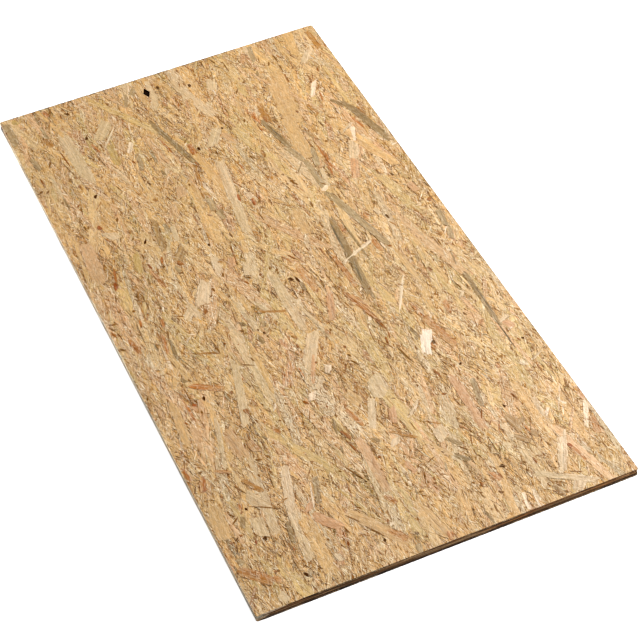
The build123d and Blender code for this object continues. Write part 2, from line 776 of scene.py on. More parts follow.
def clean_wood(shade, grain, place, tint, torn):
    """The colour of a strand's pressed wood, its fine fibre and its growth bands."""
    fibre = shade.noise(grain, FIBRE, 3)
    bands = shade.noise(grain, GROWTH_BANDS, 2)
    mottle = shade.noise(grain, MOTTLE, 2)
    uneven = shade.math("SUBTRACT", shade.math("MULTIPLY_ADD", mottle, 0.7, fibre), 0.85)
    uneven = shade.times(uneven, shade.range(torn, 0.0, 1.0, 0.6, 0.95))
    light = shade.times(shade.math("ADD", uneven, 1.0), shade.range(bands, 0.25, 0.75, 0.88, 1.1))
    clean = shade.shaded(tint, light)
    patch = shade.noise(place, BROAD_PATCHES, 2)
    clean = shade.shaded(clean, shade.mix(shade.range(patch, 0.35, 0.65), DULL_PATCH, BRIGHT_PATCH))
    late = shade.range(bands, 0.43, 0.3, 0.0, 0.45)
    return shade.mix(late, clean, shade.shaded(clean, LATEWOOD)), fibre, bands


def torn_wood(shade, grain, place, clean, pale, torn):
    """Torn fibre, which lifts in pale threads and leaves dark hollows, some of them stained by resin:
    its colour, and where it is hollow, raised and cracked. The hollows' darkness is painted shade and the
    raised threads' pallor a painted highlight, over the fibre's own colour."""
    fine = shade.noise(grain, FINE_TEARS, 2, 0.6)
    coarse = shade.noise(grain, COARSE_TEARS, 2, 0.6)
    pressed = shade.noise(place, PRESSED_TEARS, 2, 0.6)
    threads = shade.math("MULTIPLY_ADD", fine, 0.5, shade.times(coarse, 0.22))
    threads = shade.math("MULTIPLY_ADD", pressed, 0.28, threads)
    hollow = shade.times(shade.range(threads, 0.48, 0.385), torn)
    raised = shade.times(shade.range(threads, 0.51, 0.59), torn)
    stain = shade.noise(place, RESIN_STAINS, 2)
    deep = shade.mix(shade.range(stain, 0.5, 0.66), HOLLOW_SHADE, RESIN_HOLLOW_SHADE)
    rough = shade.mix(shade.times(hollow, 0.68), clean, shade.shaded(clean, deep))
    rough = shade.mix(shade.times(raised, 0.72), rough, shade.mix(0.75, pale, colour("cream")))
    crack = shade.times(shade.range(fine, 0.38, 0.31, 0.0, 0.75), torn)
    return shade.mix(crack, rough, colour("umber")), hollow, raised, crack


def hairlines(shade, grain, place, torn):
    """Where hairline splits wind between the fibres and across them, and where the lifted threads
    beside them are. The dark splits and pale threads are partly real and partly painted shade and painted
    highlight."""
    courses = [shade.stretch(grain, GRAIN_COURSE)]
    for degrees, scale in CROSS_COURSES:
        courses.append(shade.stretch(shade.turned(place, degrees), scale))
    splits, lifts = [], []
    for course in courses:
        winding = shade.noise(course, None, 1)
        broken = shade.range(shade.noise(course, COURSE_BREAKS, 1), 0.5, 0.58)
        broken = shade.times(broken, torn)
        splits.append(shade.times(shade.line(winding, SPLIT_AT, HAIRLINE), broken))
        lifts.append(shade.times(shade.line(winding, THREAD_AT, HAIRLINE), broken))
    return shade.largest(splits), shade.times(shade.largest(lifts), 0.95)


def strand_material():
    """Wood fibre along each strand, with growth bands, torn patches, hairline splits and darker sides. The
    torn patches and splits carry painted shade and painted highlights.
    """
    shade = Shader("osb_strands")
    grain = shade.attribute("grain", "Vector")
    place = shade.place()
    tint = shade.attribute("tint", "Color")
    outline = shade.node("ShaderNodeSeparateXYZ", {"Vector": shade.attribute("outline", "Vector")})

    # A strand is roughest along its sides, and dark strands show little of it.
    side = shade.math("SUBTRACT", 1.0, shade.math("ABSOLUTE", outline.outputs["Y"]))
    side = shade.times(side, outline.outputs["Z"])
    ragged = shade.noise(grain, RAGGED_SIDES, 1)
    frayed = shade.times(shade.range(side, 0.006, 0.001), shade.range(ragged, 0.4, 0.6))
    torn = shade.math("MAXIMUM", shade.attribute("tint", "Alpha"), frayed)
    grey = shade.node("ShaderNodeRGBToBW", {"Color": tint}).outputs[0]
    torn = shade.times(torn, shade.range(grey, 0.04, 0.22, 0.05, 1.0))

    clean, fibre, bands = clean_wood(shade, grain, place, tint, torn)
    pale = shade.shaded(clean, RAISED_FIBRE_HIGHLIGHT)
    rough, hollow, raised, crack = torn_wood(shade, grain, place, clean, pale, torn)
    split_and_shade, lifted_and_lit = hairlines(shade, grain, place, torn)
    # Pale threads beside dark splits, partly real fibre and partly painted highlight and painted shade
    rough = shade.mix(lifted_and_lit, rough, shade.mix(0.85, pale, colour("thread")))
    rough = shade.mix(split_and_shade, rough, shade.shaded(rough, SPLIT_AND_SHADE))

    # The sides of a strand are shut in by its neighbours.
    shut = shade.times(shade.range(side, 0.0011, 0.0), shade.range(ragged, 0.5, 0.62, 0.0, 0.7))
    shade.show(Base_Color=shade.mix(shut, rough, colour("umber")))

    # Pressed fibre has a sheen, and hollows and dark strands have none.
    dull = shade.math("MAXIMUM", shade.largest((hollow, crack)), shade.largest((shut, split_and_shade)))
    dark = shade.range(grey, 0.05, 0.3, 0.02, 1.0)
    shade.show(Specular_IOR_Level=shade.times(shade.range(dull, 0.0, 0.6, 0.9, 0.02), dark))
    shade.show(Roughness=shade.range(fibre, 0.3, 0.7, 0.58, 0.42))
    relief = shade.math("MULTIPLY_ADD", bands, 0.6, shade.times(fibre, 0.4))
    sunk = shade.math("MULTIPLY_ADD", hollow, 0.8, shade.math("ADD", crack, split_and_shade))
    relief = shade.math("ADD", shade.math("SUBTRACT", relief, sunk), raised)
    shade.show(Normal=shade.bump(relief, 0.65, 0.35 * MM))
    return shade.material


# The same scales for the cut strands, and along, across and up the panel for the mat and the void
EDGE_PORES = (1400, 2200, 1)
EDGE_STREAKS = (60, 2600, 1)
EDGE_SCORCH = (40, 300, 1)
MAT_STREAKS = (60, 700, 700)
VOID_STREAKS = (300, 1500, 800)
VOID_SHADE = (0.004, 0.003, 0.002, 1)


def edge_material():
    """Cut strands of the sawn edges: pores where the saw crossed the grain, streaks where it ran along."""
    shade = Shader("osb_sawn_edges")
    grain = shade.attribute("grain", "Vector")
    tint = shade.attribute("tint", "Color")
    end_grain = shade.attribute("tint", "Alpha")
    pores = shade.noise(grain, EDGE_PORES, 2)
    streaks = shade.noise(grain, EDGE_STREAKS, 2)
    scorch = shade.noise(grain, EDGE_SCORCH, 2)
    light = shade.range(shade.mix(end_grain, streaks, pores), 0.3, 0.7, 0.7, 1.25)
    light = shade.times(light, shade.range(scorch, 0.3, 0.7, 0.75, 1.15))
    shade.show(Base_Color=shade.shaded(tint, light), Specular_IOR_Level=0.25)
    shade.show(Roughness=shade.range(pores, 0.3, 0.7, 0.9, 0.7))
    shade.show(Normal=shade.bump(light, 0.6, 0.2 * MM))
    return shade.material


def core_material():
    """The mat of strands deep in the board, darker than the face: painted shade where it shows between the
    strands.
    """
    shade = Shader("osb_core")
    streak = shade.noise(shade.place(), MAT_STREAKS, 3)
    shade.show(Base_Color=shade.mix(streak, colour("umber"), colour("brown")), Roughness=0.85)
    return shade.material


def void_material():
    """Nearly black painted shade with dark streaks of fibre inside the open void."""
    shade = Shader("osb_void")
    streak = shade.noise(shade.place(), VOID_STREAKS, 2)
    shade.show(Base_Color=shade.mix(shade.range(streak, 0.5, 0.75), VOID_SHADE, colour("pit")))
    shade.show(Roughness=0.9, Specular_IOR_Level=0.05)
    return shade.material


# What lies on the faces

STRAND_TONES = {
    "tan": 6, "honey": 1, "straw": 3, "pale": 0.3, "pink": 1, "blush": 3, "khaki": 2, "brown": 0.3,
}
FINE_TONES = {
    "tan": 6, "honey": 1.5, "straw": 3, "pale": 1.5, "cream": 0.4, "pink": 0.8, "blush": 3, "khaki": 2,
    "olive": 0.5, "brown": 0.4, "orange": 0.3, "grey": 0.2,
}
SPLINTER_TONES = {
    "tan": 4, "honey": 1.5, "straw": 3, "pale": 2.4, "cream": 2, "blush": 2, "khaki": 1.5, "brown": 1.3,
    "orange": 0.9, "bark": 0.5,
}
NEEDLE_TONES = {
    "tan": 2, "straw": 2, "pale": 3, "cream": 2.6, "thread": 0.4, "honey": 2, "brown": 2.2, "bark": 1,
    "umber": 0.6, "orange": 1.4,
}
CHIP_TONES = {
    "pale": 2.5, "cream": 1.6, "straw": 3, "tan": 4, "honey": 1, "brown": 0.4, "blush": 2.5, "khaki": 1.5,
    "orange": 0.1,
}
CLEAN_TONES = {"tan": 5, "straw": 2.5, "blush": 2.5, "khaki": 1.5, "buff": 3}
DEEP_TONES = {"honey": 2, "brown": 0.6, "olive": 1, "tan": 5, "straw": 2}
GAP_TONES = {"umber": 1.5, "bark": 1.2, "brown": 3}
PIT_TONES = {"pit": 2, "umber": 1}

# The kinds that are thrown on the faces, from the lowest up
DEEP = Kind(
    "deep_strands", 40, stations=4, lanes=3, fray=0.2, tones=DEEP_TONES, count=1200, back=1.0,
    length=(45, 105), width=(8, 24), depth=(0.5, 0.85), turn=24, taper=(0.0, 0.4), torn=(0.4, 0.9),
)
LOWER = Kind(
    "lower_strands", 41, stations=6, lanes=4, fray=0.2, tones=STRAND_TONES, count=400, back=1.0,
    length=(50, 120), width=(4, 20), depth=(0.3, 0.5), turn=18, taper=(0.0, 0.4), torn=(0.3, 0.9),
    shadow_gapped=0.6,
)
BROAD = Kind(
    "broad_strands", 42, stations=8, lanes=5, fray=0.16, tones=CLEAN_TONES, count=330, back=1.0,
    length=(55, 130), width=(4, 15), depth=(0.1, 0.28), turn=11, taper=(0.0, 0.3), torn=(0.3, 0.9),
    unevenness=0.04, shadow_gapped=0.6,
)
SHORT = Kind(
    "short_strands", 43, stations=5, lanes=3, fray=0.3, tones=FINE_TONES, count=1400, back=0.6,
    length=(16, 52), width=(1.6, 6.5), depth=(0.12, 0.5), turn=15, taper=(0.1, 0.8), torn=(0.4, 1.0),
    clump=0.25, shadow_gapped=0.45,
)
CHIPS = Kind(
    "chips", 44, stations=3, lanes=2, fray=0.3, tones=CHIP_TONES, count=1500, back=0.5,
    length=(4, 12), width=(1.2, 3.2), depth=(0.06, 0.42), turn=28, taper=(0.0, 0.6), torn=(0.3, 0.9),
    unevenness=0.08, clump=0.5,
)
SPLINTERS = Kind(
    "splinters", 45, stations=3, lanes=2, fray=0.3, tones=SPLINTER_TONES, count=4700, back=0.4,
    length=(8, 28), width=(0.6, 2.0), depth=(0.05, 0.5), turn=18, taper=(0.3, 1.0), torn=(0.3, 0.9),
    unevenness=0.08, clump=0.45, shadow_gapped=0.25,
)
NEEDLES = Kind(
    "needles", 46, stations=2, lanes=2, fray=0.3, tones=NEEDLE_TONES, count=13500, back=0.16,
    length=(4, 18), width=(0.5, 1.3), depth=(0.03, 0.36), turn=25, taper=(0.5, 1.0), torn=(0.0, 0.4),
    unevenness=0.1, clump=0.55,
)
CRACKS = Kind(
    "cracks", 47, stations=5, lanes=2, fray=0.3, tones=GAP_TONES, count=420, back=0.9,
    length=(10, 38), width=(0.4, 1.0), depth=(0.04, 0.3), turn=11, taper=(0.6, 1.0), torn=(0.0, 0.2),
    unevenness=0.12,
)
# Small holes shown as dark slivers flush with the face: painted shade in the holes
PITS = Kind(
    "pits", 48, stations=4, lanes=2, fray=0.3, tones=PIT_TONES, count=80, back=1.2,
    length=(1.2, 4.2), width=(0.8, 1.7), depth=(0.05, 0.12), turn=16, taper=(0.6, 1.0), torn=(0.0, 0.2),
    clump=0.9,
)
THROWN = (DEEP, LOWER, BROAD, SHORT, CHIPS, SPLINTERS, NEEDLES, CRACKS, PITS)

# The kinds that are laid in other ways: one by one, beside other strands, and in rows under all of them
MARKED = Kind("marked_strands", 60, stations=9, lanes=6, fray=0.13, shadow_gapped=0.5)
# Dark gaps beside strands: partly real gaps and partly painted shadow
SHADOW_GAPS = Kind(
    "gaps", 61, stations=3, lanes=2, fray=0.3, tones=GAP_TONES,
    width=(0.4, 1.0), taper=(0.6, 1.0), torn=(0, 0.3), unevenness=0.15,
)
SPLITS = Kind("marked_splits", 62, stations=5, lanes=3, fray=0.2)
BED = Kind(
    "bed_strands", 63, stations=2, lanes=2, fray=0.0, tones=DEEP_TONES,
    depth=(0.7, 0.85), turn=2, taper=(0.0, 0.0), torn=(0.4, 0.9),
)

# Strands, stains, splits and holes that stand out in the photograph, placed one by one: for each its
# width and its two ends, in mm from the far end and from the left side
MARKS = {
    "oak": (
        (18, 150, 304, 230, 297), (12, 722, 126, 786, 164), (12, 578, 188, 602, 194),
        (7, 8, 166, 52, 167), (24, 60, 322, 165, 308), (16, 658, 12, 705, 8), (7, 88, 266, 128, 259),
        (12, 300, 250, 345, 246), (10, 505, 26, 580, 18), (8, 412, 323, 476, 324),
        (4, 666, 226, 705, 248), (13, 745, 190, 797, 199),
    ),
    "olive": ((9, 98, 103, 140, 100), (8, 4, 14, 15, 18), (8, 285, 67, 320, 62)),
    "rose": (
        (16, 245, 22, 318, 18), (14, 572, 60, 620, 64), (10, 640, 174, 720, 172),
        (9, 140, 226, 165, 234), (12, 225, 146, 205, 150),
    ),
    "pink": (
        (10, 248, 346, 286, 331), (8, 340, 158, 356, 154), (8, 438, 232, 480, 217),
        (9, 318, 381, 336, 384), (10, 602, 294, 692, 291), (5, 515, 180, 555, 163),
        (8, 618, 222, 640, 214), (5, 528, 41, 535, 45), (7, 696, 99, 707, 93), (11, 712, 94, 739, 114),
        (6, 690, 202, 708, 206), (8, 560, 376, 574, 382),
    ),
    "buff": (
        (6, 6, 181, 50, 180), (15, 52, 59, 158, 62), (16, 87, 94, 56, 115), (12, 40, 252, 62, 246),
        (12, 182, 206, 330, 187), (12, 240, 50, 256, 58), (12, 222, 356, 258, 342),
        (11, 392, 96, 410, 80), (8, 354, 170, 376, 164), (11, 372, 187, 482, 186),
        (9, 478, 106, 580, 80), (5, 548, 58, 622, 41), (14, 484, 193, 548, 160), (14, 660, 46, 684, 60),
        (14, 690, 44, 716, 42), (4, 700, 75, 728, 73), (8, 758, 306, 796, 360), (7, 670, 354, 700, 350),
        (8, 711, 300, 721, 303), (10, 784, 30, 797, 33),
    ),
    "bone": (
        (13, 160, 206, 128, 226), (4, 112, 280, 132, 276), (8, 42, 380, 66, 360),
        (6, 262, 119, 290, 116), (5, 168, 148, 181, 143), (3, 205, 157, 195, 165),
        (5, 250, 213, 262, 215), (5, 250, 304, 284, 299), (4, 206, 350, 193, 368),
        (15, 362, 120, 397, 103), (8, 388, 90, 410, 94), (9, 330, 142, 358, 137),
        (5, 432, 199, 442, 195), (7, 548, 176, 562, 164), (20, 570, 222, 606, 220),
        (8, 638, 192, 598, 208), (4, 640, 230, 622, 250), (5, 560, 372, 556, 385),
        (3, 626, 372, 616, 392), (3, 511, 349, 502, 360), (10, 640, 95, 702, 77),
        (9, 658, 209, 668, 202), (14, 662, 250, 682, 250), (3, 690, 196, 716, 196),
        (10, 722, 358, 772, 333), (12, 784, 345, 798, 335), (6, 765, 96, 776, 98),
        (6, 340, 328, 352, 331),
    ),
    "cream": (
        (2.6, 106, 94, 67, 121), (6, 105, 128, 124, 118), (2, 142, 180, 137, 184),
        (6, 101, 360, 129, 346), (6, 280, 298, 288, 290), (6, 199, 365, 226, 357),
        (2.5, 251, 391, 250, 399), (4.5, 405, 262, 385, 306), (2, 402, 387, 414, 380),
        (3, 441, 68, 433, 76), (3, 448, 314, 504, 283), (7, 536, 188, 548, 183),
        (7, 564, 158, 575, 153), (3.5, 492, 254, 498, 253), (3, 572, 113, 560, 119),
        (3.5, 634, 238, 626, 246), (2.2, 577, 370, 572, 382), (6, 620, 364, 628, 368),
        (2, 672, 109, 710, 98), (3, 714, 194, 721, 196), (3, 753, 160, 759, 156),
        (5, 731, 381, 696, 398), (3.5, 689, 360, 699, 353), (4, 776, 287, 799, 283),
        (2, 752, 303, 765, 304),
    ),
    "ivory": ((13, 534, 299, 571, 285),),
    "grey": (
        (9, 2, 5, 52, 6), (4, 30, 41, 56, 42), (6, 80, 13, 106, 17), (6, 128, 126, 160, 122),
        (9, 12, 164, 26, 156), (4, 20, 151, 44, 143), (6, 0, 316, 38, 310), (5, 255, 112, 275, 113),
        (8, 238, 172, 262, 170), (6, 262, 173, 280, 175), (8, 200, 284, 230, 292),
        (7, 228, 293, 284, 294), (7, 212, 309, 246, 302), (9, 288, 293, 402, 319),
        (5, 326, 98, 338, 101), (7, 374, 391, 402, 387), (6, 405, 388, 424, 384),
        (6, 618, 311, 660, 302), (6, 668, 116, 702, 106), (6, 730, 9, 738, 13), (3, 708, 237, 722, 233),
        (6, 788, 170, 800, 168),
    ),
    "slate": (
        (2.2, 2, 41, 32, 41), (6.5, 79, 158, 184, 182), (3, 52, 307, 62, 303), (5, 142, 362, 162, 372),
        (2.2, 158, 25, 188, 26), (3, 168, 140, 182, 143), (4, 262, 177, 275, 174),
        (7, 140, 275, 204, 288), (1.6, 228, 291, 248, 276), (9, 150, 374, 245, 395),
        (8, 326, 280, 470, 268.5), (3, 340, 288, 418, 291), (4, 428, 55, 462, 51),
        (1.2, 450, 52, 478, 61), (3, 425, 37, 440, 38), (4, 438, 130, 446, 133),
        (4, 410, 211, 424, 210), (4, 466, 139, 478, 141), (4, 447, 154, 456, 150),
        (4, 487, 44, 494, 49), (3.2, 522, 77, 540, 79), (2.4, 596, 88, 604, 95),
        (3, 606, 163, 630, 157), (3.5, 522, 284, 545, 288), (3, 538, 285, 548, 284),
        (6, 474, 372, 568, 370), (3, 538, 388, 543, 392), (5, 684, 34, 698, 28), (5, 708, 70, 736, 65),
        (3, 640, 154, 657, 153), (4, 648, 187, 656, 192), (5, 680, 251, 696, 262),
        (6, 704, 249, 718, 260), (2, 726, 197, 735, 195), (3, 756, 158, 760, 157),
        (3, 778, 244, 800, 246), (3, 428, 337, 440, 337),
    ),
    "soot": (
        (2.4, 338, 276, 396, 272), (2.2, 392, 276, 452, 268), (2.2, 482, 373, 562, 370.5),
        (1.6, 550, 369.5, 602, 369), (1.8, 92, 161, 150, 174), (2, 160, 377, 212, 388),
        (1.8, 150, 279, 190, 286),
    ),
    "drab": (
        (8, 243, 104, 298, 97), (12, 300, 118, 320, 104), (4, 182, 316, 198, 316),
        (9, 678, 318, 706, 322), (6, 690, 332, 696, 325), (7, 708, 312, 722, 324),
        (7, 708, 334, 718, 331), (6, 780, 318, 796, 322),
    ),
    "russet": (
        (8, 385, 217, 434, 221), (9, 448, 248, 482, 257), (6, 385, 258, 445, 261),
        (6, 383, 306, 406, 308), (6, 340, 315, 352, 318), (8, 508, 62, 520, 80),
        (5, 594, 102, 600, 109), (9, 596, 75, 614, 78), (4, 618, 30, 628, 45), (4, 488, 205, 498, 207),
        (5, 600, 178, 630, 186), (5, 552, 299, 566, 293), (9, 518, 305, 572, 316),
        (6, 505, 334, 524, 333), (4, 555, 352, 548, 358), (12, 742, 4, 774, 36),
        (10, 760, 150, 781, 163), (6, 720, 166, 735, 173), (5, 745, 356, 768, 361),
        (8, 718, 392, 742, 388),
    ),
    "orange": (
        (6, 4, 52, 18, 55), (4, 88, 84, 110, 89), (2.4, 60, 201, 76, 199), (2.4, 112, 157, 158, 165),
        (7, 141, 186, 162, 185), (2, 118, 358, 146, 353), (3, 298, 38, 322, 33), (3, 316, 88, 304, 91),
        (2.5, 200, 224, 214, 225), (2, 206, 316, 262, 315), (1.8, 222, 319, 262, 315),
        (2.2, 236, 313, 274, 311), (3, 180, 370, 212, 378), (5, 318, 73, 355, 78),
        (3, 385, 36, 400, 34), (4, 395, 57, 408, 56), (4.5, 416, 50, 448, 45), (5, 408, 16, 434, 20),
        (4, 346, 285, 362, 284), (4, 446, 246, 500, 260), (8, 499, 49, 512, 66), (7, 618, 17, 640, 10),
        (4, 600, 3, 622, 5), (4, 612, 341, 620, 342), (4, 668, 37, 676, 35), (7, 738, 270, 756, 276),
        (6, 788, 203, 797, 202),
    ),
    "rust": (
        (5, 226, 44, 233, 46), (2.5, 308, 73, 320, 75), (3, 246, 203, 262, 201),
        (4, 262, 215, 274, 214), (4, 320, 31, 332, 30), (2.5, 355, 284, 360, 284),
        (4, 526, 42, 529, 46), (2, 467, 115, 468, 117), (2, 638, 8, 637, 16), (2.4, 716, 34, 722, 33),
        (3.5, 740, 355, 748, 356),
    ),
    "brown": (
        (1.5, 19, 56, 45, 47), (1.2, 36, 11, 60, 12), (7, 52, 38, 75, 42), (2.5, 72, 93, 63, 101),
        (1.5, 130, 92, 148, 98), (2, 2, 170, 14, 175), (1.2, 98, 255, 142, 253), (7, 8, 389, 48, 391),
        (5, 138, 334, 162, 340), (8, 112, 284, 150, 283), (2, 200, 73, 185, 75),
        (4, 212, 115, 218, 118), (3, 246, 72, 256, 74), (2, 184, 184, 194, 179),
        (1.6, 204, 159, 198, 164), (2, 188, 221, 212, 225), (4, 190, 256, 204, 254),
        (2, 160, 337, 166, 334), (1.6, 240, 386, 300, 388), (1.8, 363, 44, 395, 41),
        (3, 379, 3, 381, 14), (3, 460, 74, 471, 95), (5, 340, 141, 342, 150), (2, 384, 147, 402, 139),
        (3.5, 430, 148, 445, 180), (2, 366, 334, 378, 340), (4, 404, 372, 414, 378),
        (1.6, 352, 366, 380, 372), (1.8, 398, 331, 418, 323), (5, 482, 170, 488, 176),
        (1.6, 505, 298, 525, 307), (1.6, 575, 341, 565, 348), (1.6, 590, 256, 600, 257),
        (4, 575, 135, 590, 135), (6, 640, 50, 666, 64), (2, 685, 69, 681, 84),
        (3.5, 682, 161, 686, 163), (1.2, 640, 229, 664, 230), (3.5, 648, 206, 668, 227),
        (1.8, 650, 241, 664, 258), (1, 700, 213, 701, 222),
    ),
    "bark": (
        (2, 80, 47, 120, 50), (3, 138, 116, 145, 118), (2.5, 118, 12, 138, 13), (3, 150, 48, 157, 48),
        (1.6, 21, 261, 27, 259), (2, 44, 316, 48, 319), (2, 72, 333, 92, 332), (2.4, 78, 373, 89, 371),
        (2, 111, 361, 122, 355), (4, 135, 281, 147, 281), (2.4, 142, 318, 149, 320),
        (2.5, 187, 34, 181, 38), (2.2, 249, 45, 257, 48), (2.4, 172, 180, 186, 182),
        (3, 255, 222, 270, 222), (3, 264, 160, 269, 165), (1.8, 226, 316, 252, 315),
        (2.6, 280, 310, 288, 313), (1.6, 322, 74, 345, 77), (5, 320, 103, 328, 107),
        (5, 402, 105, 410, 102), (3, 390, 2, 400, 6), (2, 392, 35, 400, 34), (2.5, 458, 104, 461, 104),
        (1.6, 320, 165, 356, 160), (2.4, 376, 154, 390, 161), (3.5, 380, 175, 382, 178),
        (2, 365, 214, 377, 221), (2, 428, 222, 434, 220), (1.4, 448, 246, 482, 255),
        (1.4, 452, 251, 484, 260), (3, 401, 317, 405, 321), (5, 352, 388, 357, 391),
        (4, 452, 341, 460, 342), (3, 525, 85, 530, 83), (5, 553, 86, 563, 90),
        (2.5, 594, 108, 601, 107), (3, 544, 26, 549, 28), (2, 493, 171, 501, 170),
        (3, 526, 176, 529, 179), (3, 571, 144, 578, 149), (2.5, 587, 163, 591, 164),
        (3, 518, 213, 523, 214), (1.6, 480, 254, 520, 263), (1.4, 484, 259, 518, 263),
        (1.6, 519, 263, 532, 260), (2.6, 525, 257, 538, 255), (4, 625, 162, 640, 168),
        (3, 520, 332, 526, 333), (1.8, 588, 377, 596, 379), (3, 590, 280, 605, 284),
        (3, 625, 273, 628, 278), (2, 649, 24, 655, 25), (2, 677, 36, 681, 33), (3, 703, 23, 708, 24),
        (2.6, 708, 11, 712, 12), (2, 758, 37, 762, 36), (2.2, 638, 162, 660, 167),
        (2.6, 672, 182, 676, 183), (2, 720, 219, 726, 218), (2.2, 748, 157, 756, 155),
        (3, 746, 256, 754, 257), (1.6, 660, 301, 676, 293), (3, 742, 276, 754, 278),
        (2.4, 740, 316, 751, 316),
    ),
    "umber": (
        (2.6, 3, 62, 19, 56), (2, 50, 38, 56, 37), (2, 92, 33, 108, 27), (1.3, 96, 42, 140, 51),
        (2, 92, 93, 99, 94), (3, 144, 2, 141, 9), (2.5, 147, 10, 143, 15), (2, 142, 72, 149, 74),
        (1.4, 2, 253, 16, 252), (2.2, 2, 263, 19, 268), (1.6, 132, 186, 137, 181),
        (1.4, 98, 228, 141, 240), (2.6, 128, 259, 136, 257), (1.6, 16, 273, 20, 277),
        (1.4, 18, 276, 40, 276), (2, 42, 326, 52, 322), (1.6, 28, 335, 50, 335), (2, 52, 334, 68, 334),
        (4, 145, 289, 152, 291), (2.6, 62, 285, 67, 284), (2, 72, 274, 82, 268), (2, 168, 22, 174, 22),
        (2, 186, 38, 199, 36), (1.6, 218, 31, 227, 31), (1.6, 220, 35, 227, 34),
        (2.4, 230, 66, 222, 69), (2, 266, 70, 262, 74), (1.8, 178, 119, 188, 122),
        (2, 235, 111, 239, 113), (2, 278, 5, 284, 6), (1.4, 290, 73, 300, 73),
        (1.6, 176, 163, 170, 165), (2.4, 206, 160, 210, 161), (2.4, 266, 223, 273, 219),
        (2, 283, 218, 279, 221), (1.4, 286, 212, 302, 213), (2, 204, 254, 198, 257),
        (3, 239, 260, 243, 262), (2.5, 256, 258, 260, 261), (3, 254, 264, 258, 267),
        (3.4, 284, 142, 282, 147), (2, 303, 171, 312, 172), (1.6, 270, 291, 280, 298),
        (1.8, 170, 334, 186, 336), (2, 287, 306, 291, 308), (2, 200, 349, 197, 351),
        (2, 208, 327, 212, 328), (2.4, 255, 264, 267, 271), (3, 296, 270, 308, 270),
        (1.6, 340, 25, 350, 23), (3, 319, 85, 322, 89), (2.5, 337, 98, 340, 103),
        (1.6, 352, 40, 360, 46), (1.6, 345, 47, 355, 46), (2.4, 369, 34, 373, 35),
        (2, 363, 19, 367, 21), (2.4, 377, 63, 382, 62), (1.6, 390, 91, 405, 93),
        (2, 376, 123, 383, 123), (2, 389, 113, 386, 120), (2.4, 384, 3, 391, 8), (2.6, 416, 2, 423, 7),
        (1.8, 414, 57, 432, 52), (1.4, 458, 44, 470, 46), (1.6, 446, 93, 475, 95),
        (2.5, 449, 125, 452, 130), (2, 322, 169, 330, 169), (1.8, 320, 206, 332, 204),
        (2, 358, 142, 367, 139), (1.6, 376, 160, 382, 167), (2.4, 455, 142, 459, 143),
        (2, 412, 232, 418, 236), (2, 452, 272, 457, 271), (1.2, 412, 366, 430, 367),
        (1.2, 412, 369, 428, 369), (1.8, 443, 360, 446, 360), (1.5, 450, 384, 455, 388),
        (1.8, 494, 6, 500, 3), (3, 494, 43, 497, 42), (2, 490, 51, 496, 53), (2, 537, 48, 542, 47),
        (1.6, 534, 66, 539, 67), (1.8, 565, 106, 571, 111), (1.6, 495, 107, 504, 121),
        (2, 490, 120, 498, 122), (2.4, 566, 127, 568, 129), (2.2, 584, 113, 587, 114),
        (3, 612, 18, 616, 17), (2, 622, 72, 625, 75), (1.6, 600, 15, 604, 18), (2, 480, 169, 486, 173),
        (2, 489, 210, 494, 210), (1.6, 549, 184, 544, 188), (2.4, 531, 212, 537, 213),
        (1.8, 540, 211, 553, 217), (1.8, 545, 261, 576, 268), (2, 602, 257, 606, 257),
        (1.6, 608, 225, 610, 230), (2, 511, 281, 516, 282), (1.6, 568, 293, 577, 297),
        (1.2, 500, 372, 540, 372), (2, 496, 392, 502, 393), (2, 598, 384, 602, 383),
        (2, 606, 385, 612, 384), (2.2, 601, 332, 605, 333), (2.4, 611, 341, 613, 344),
        (1.6, 555, 340, 562, 343), (2, 530, 344, 536, 346), (1.4, 644, 40, 660, 48),
        (2.4, 641, 67, 645, 68), (2.4, 642, 79, 646, 80), (2, 671, 71, 675, 71),
        (1.6, 674, 42, 691, 70), (1.6, 690, 20, 682, 30), (1.6, 675, 22, 681, 27),
        (1.6, 727, 40, 741, 45), (1.6, 765, 19, 774, 22), (2, 758, 39, 762, 40), (2, 745, 95, 748, 97),
        (1.6, 726, 122, 742, 133), (1.8, 650, 183, 672, 181), (2.2, 672, 139, 675, 142),
        (1.6, 666, 145, 698, 159), (1.8, 687, 177, 692, 178), (1.8, 700, 201, 706, 204),
        (1.8, 704, 210, 699, 213), (1.2, 702, 221, 697, 232), (1.4, 694, 256, 706, 266),
        (2.4, 727, 216, 730, 218), (2, 722, 211, 726, 212), (2, 714, 192, 721, 191),
        (2.4, 718, 196, 722, 197), (1.6, 731, 197, 733, 204), (1.4, 722, 235, 738, 235),
        (1.6, 745, 133, 770, 148), (2.2, 783, 180, 786, 182), (2.4, 774, 174, 779, 176),
        (2, 743, 249, 746, 251), (1.6, 775, 256, 790, 254), (2.4, 662, 272, 664, 275),
        (2, 668, 273, 672, 275), (2, 686, 274, 689, 275), (1.6, 728, 337, 738, 339),
        (1.2, 734, 394, 742, 396), (2.6, 792, 324, 796, 326), (1.4, 772, 338, 780, 352),
        (2.4, 764, 266, 770, 272), (2, 741, 304, 745, 308),
    ),
    # Small holes shown as dark slivers: painted shade in the holes
    "pit": (
        (3.6, 20, 75, 25, 78), (4, 73, 83, 79, 83), (3, 23, 189, 30, 190), (3.6, 37, 224, 44, 225),
        (3.2, 151, 192, 158, 193), (2.8, 130, 230, 135, 230), (3.6, 180, 57, 175, 60),
        (2.8, 279, 81, 270, 85), (2.8, 308, 144, 314, 144), (2.8, 160, 176, 165, 178),
        (3.6, 399, 202, 405, 204), (2.6, 400, 208, 412, 210), (3.4, 353, 335, 364, 338),
        (2.6, 462, 147, 466, 146), (3, 519, 57, 526, 55), (3.6, 553, 298, 559, 298),
        (3, 590, 382, 594, 383), (2.6, 594, 310, 598, 308), (2.6, 675, 40, 679, 40),
        (3.6, 716, 43, 720, 42), (3, 772, 60, 779, 62), (3, 769, 144, 773, 143),
